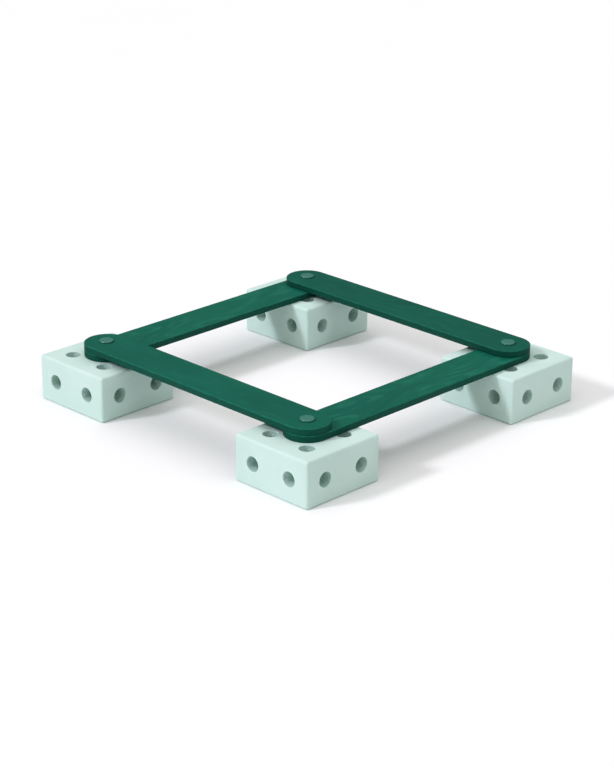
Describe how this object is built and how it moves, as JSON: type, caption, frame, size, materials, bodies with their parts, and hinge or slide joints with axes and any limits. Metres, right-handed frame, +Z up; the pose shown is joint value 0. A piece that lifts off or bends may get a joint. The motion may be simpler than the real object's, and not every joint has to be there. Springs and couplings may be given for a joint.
{
  "type": "balance beam square",
  "caption": "Low balance beam square: drilled foam blocks at the corners carry round-ended plywood planks, joined by round wooden pegs.",
  "frame": {"origin": "middle of the square, on the floor", "axes": "+Z up; X along the lower planks and Y along the upper planks; -Y is the front, -X the left"},
  "size_m": [0.96, 0.96, 0.161],
  "materials": {
    "foam": "matte closed-cell foam, pale mint",
    "plank": "plywood, dark green stain under a satin lacquer",
    "peg": "turned hardwood, green lacquer"
  },
  "bodies": {
    "block_front_left": {"block_front_left": "foam"},
    "block_front_right": {"block_front_right": "foam"},
    "block_back_left": {"block_back_left": "foam"},
    "block_back_right": {"block_back_right": "foam"},
    "lower_plank_front": {"lower_plank_front": "plank"},
    "lower_plank_back": {"lower_plank_back": "plank"},
    "upper_plank_left": {"upper_plank_left": "plank"},
    "upper_plank_right": {"upper_plank_right": "plank"},
    "peg_front_left": {"peg_front_left": "peg"},
    "peg_front_right": {"peg_front_right": "peg"},
    "peg_back_left": {"peg_back_left": "peg"},
    "peg_back_right": {"peg_back_right": "peg"}
  },
  "joints": [
    {"name": "square_rack", "type": "hinge", "parent": "lower_plank_front", "child": "upper_plank_left", "pos_m": [-0.36, -0.36, 0], "axis": [0, 0, 1], "range_deg": [-60, 60]},
    {"name": "right_plank_swing", "type": "hinge", "parent": "lower_plank_front", "child": "upper_plank_right", "pos_m": [0.36, -0.36, 0], "axis": [0, 0, 1], "range_deg": [-60, 60]},
    {"name": "back_plank_swing", "type": "hinge", "parent": "upper_plank_left", "child": "lower_plank_back", "pos_m": [-0.36, 0.36, 0], "axis": [0, 0, 1], "range_deg": [-60, 60]},
    {"name": "block_front_left_turn", "type": "hinge", "parent": "lower_plank_front", "child": "block_front_left", "pos_m": [-0.36, -0.36, 0], "axis": [0, 0, 1], "continuous": true},
    {"name": "block_front_right_turn", "type": "hinge", "parent": "lower_plank_front", "child": "block_front_right", "pos_m": [0.36, -0.36, 0], "axis": [0, 0, 1], "continuous": true},
    {"name": "block_back_left_turn", "type": "hinge", "parent": "lower_plank_back", "child": "block_back_left", "pos_m": [-0.36, 0.36, 0], "axis": [0, 0, 1], "continuous": true},
    {"name": "block_back_right_turn", "type": "hinge", "parent": "lower_plank_back", "child": "block_back_right", "pos_m": [0.36, 0.36, 0], "axis": [0, 0, 1], "continuous": true},
    {"name": "peg_front_left_lift", "type": "slide", "parent": "block_front_left", "child": "peg_front_left", "axis": [0, 0, 1], "range_m": [0, 0.17]},
    {"name": "peg_front_right_lift", "type": "slide", "parent": "block_front_right", "child": "peg_front_right", "axis": [0, 0, 1], "range_m": [0, 0.17]},
    {"name": "peg_back_left_lift", "type": "slide", "parent": "block_back_left", "child": "peg_back_left", "axis": [0, 0, 1], "range_m": [0, 0.17]},
    {"name": "peg_back_right_lift", "type": "slide", "parent": "block_back_right", "child": "peg_back_right", "axis": [0, 0, 1], "range_m": [0, 0.17]}
  ],
  "couplings": [
    {"joint": "right_plank_swing", "follows": "square_rack", "ratio": 1},
    {"joint": "back_plank_swing", "follows": "square_rack", "ratio": -1}
  ]
}
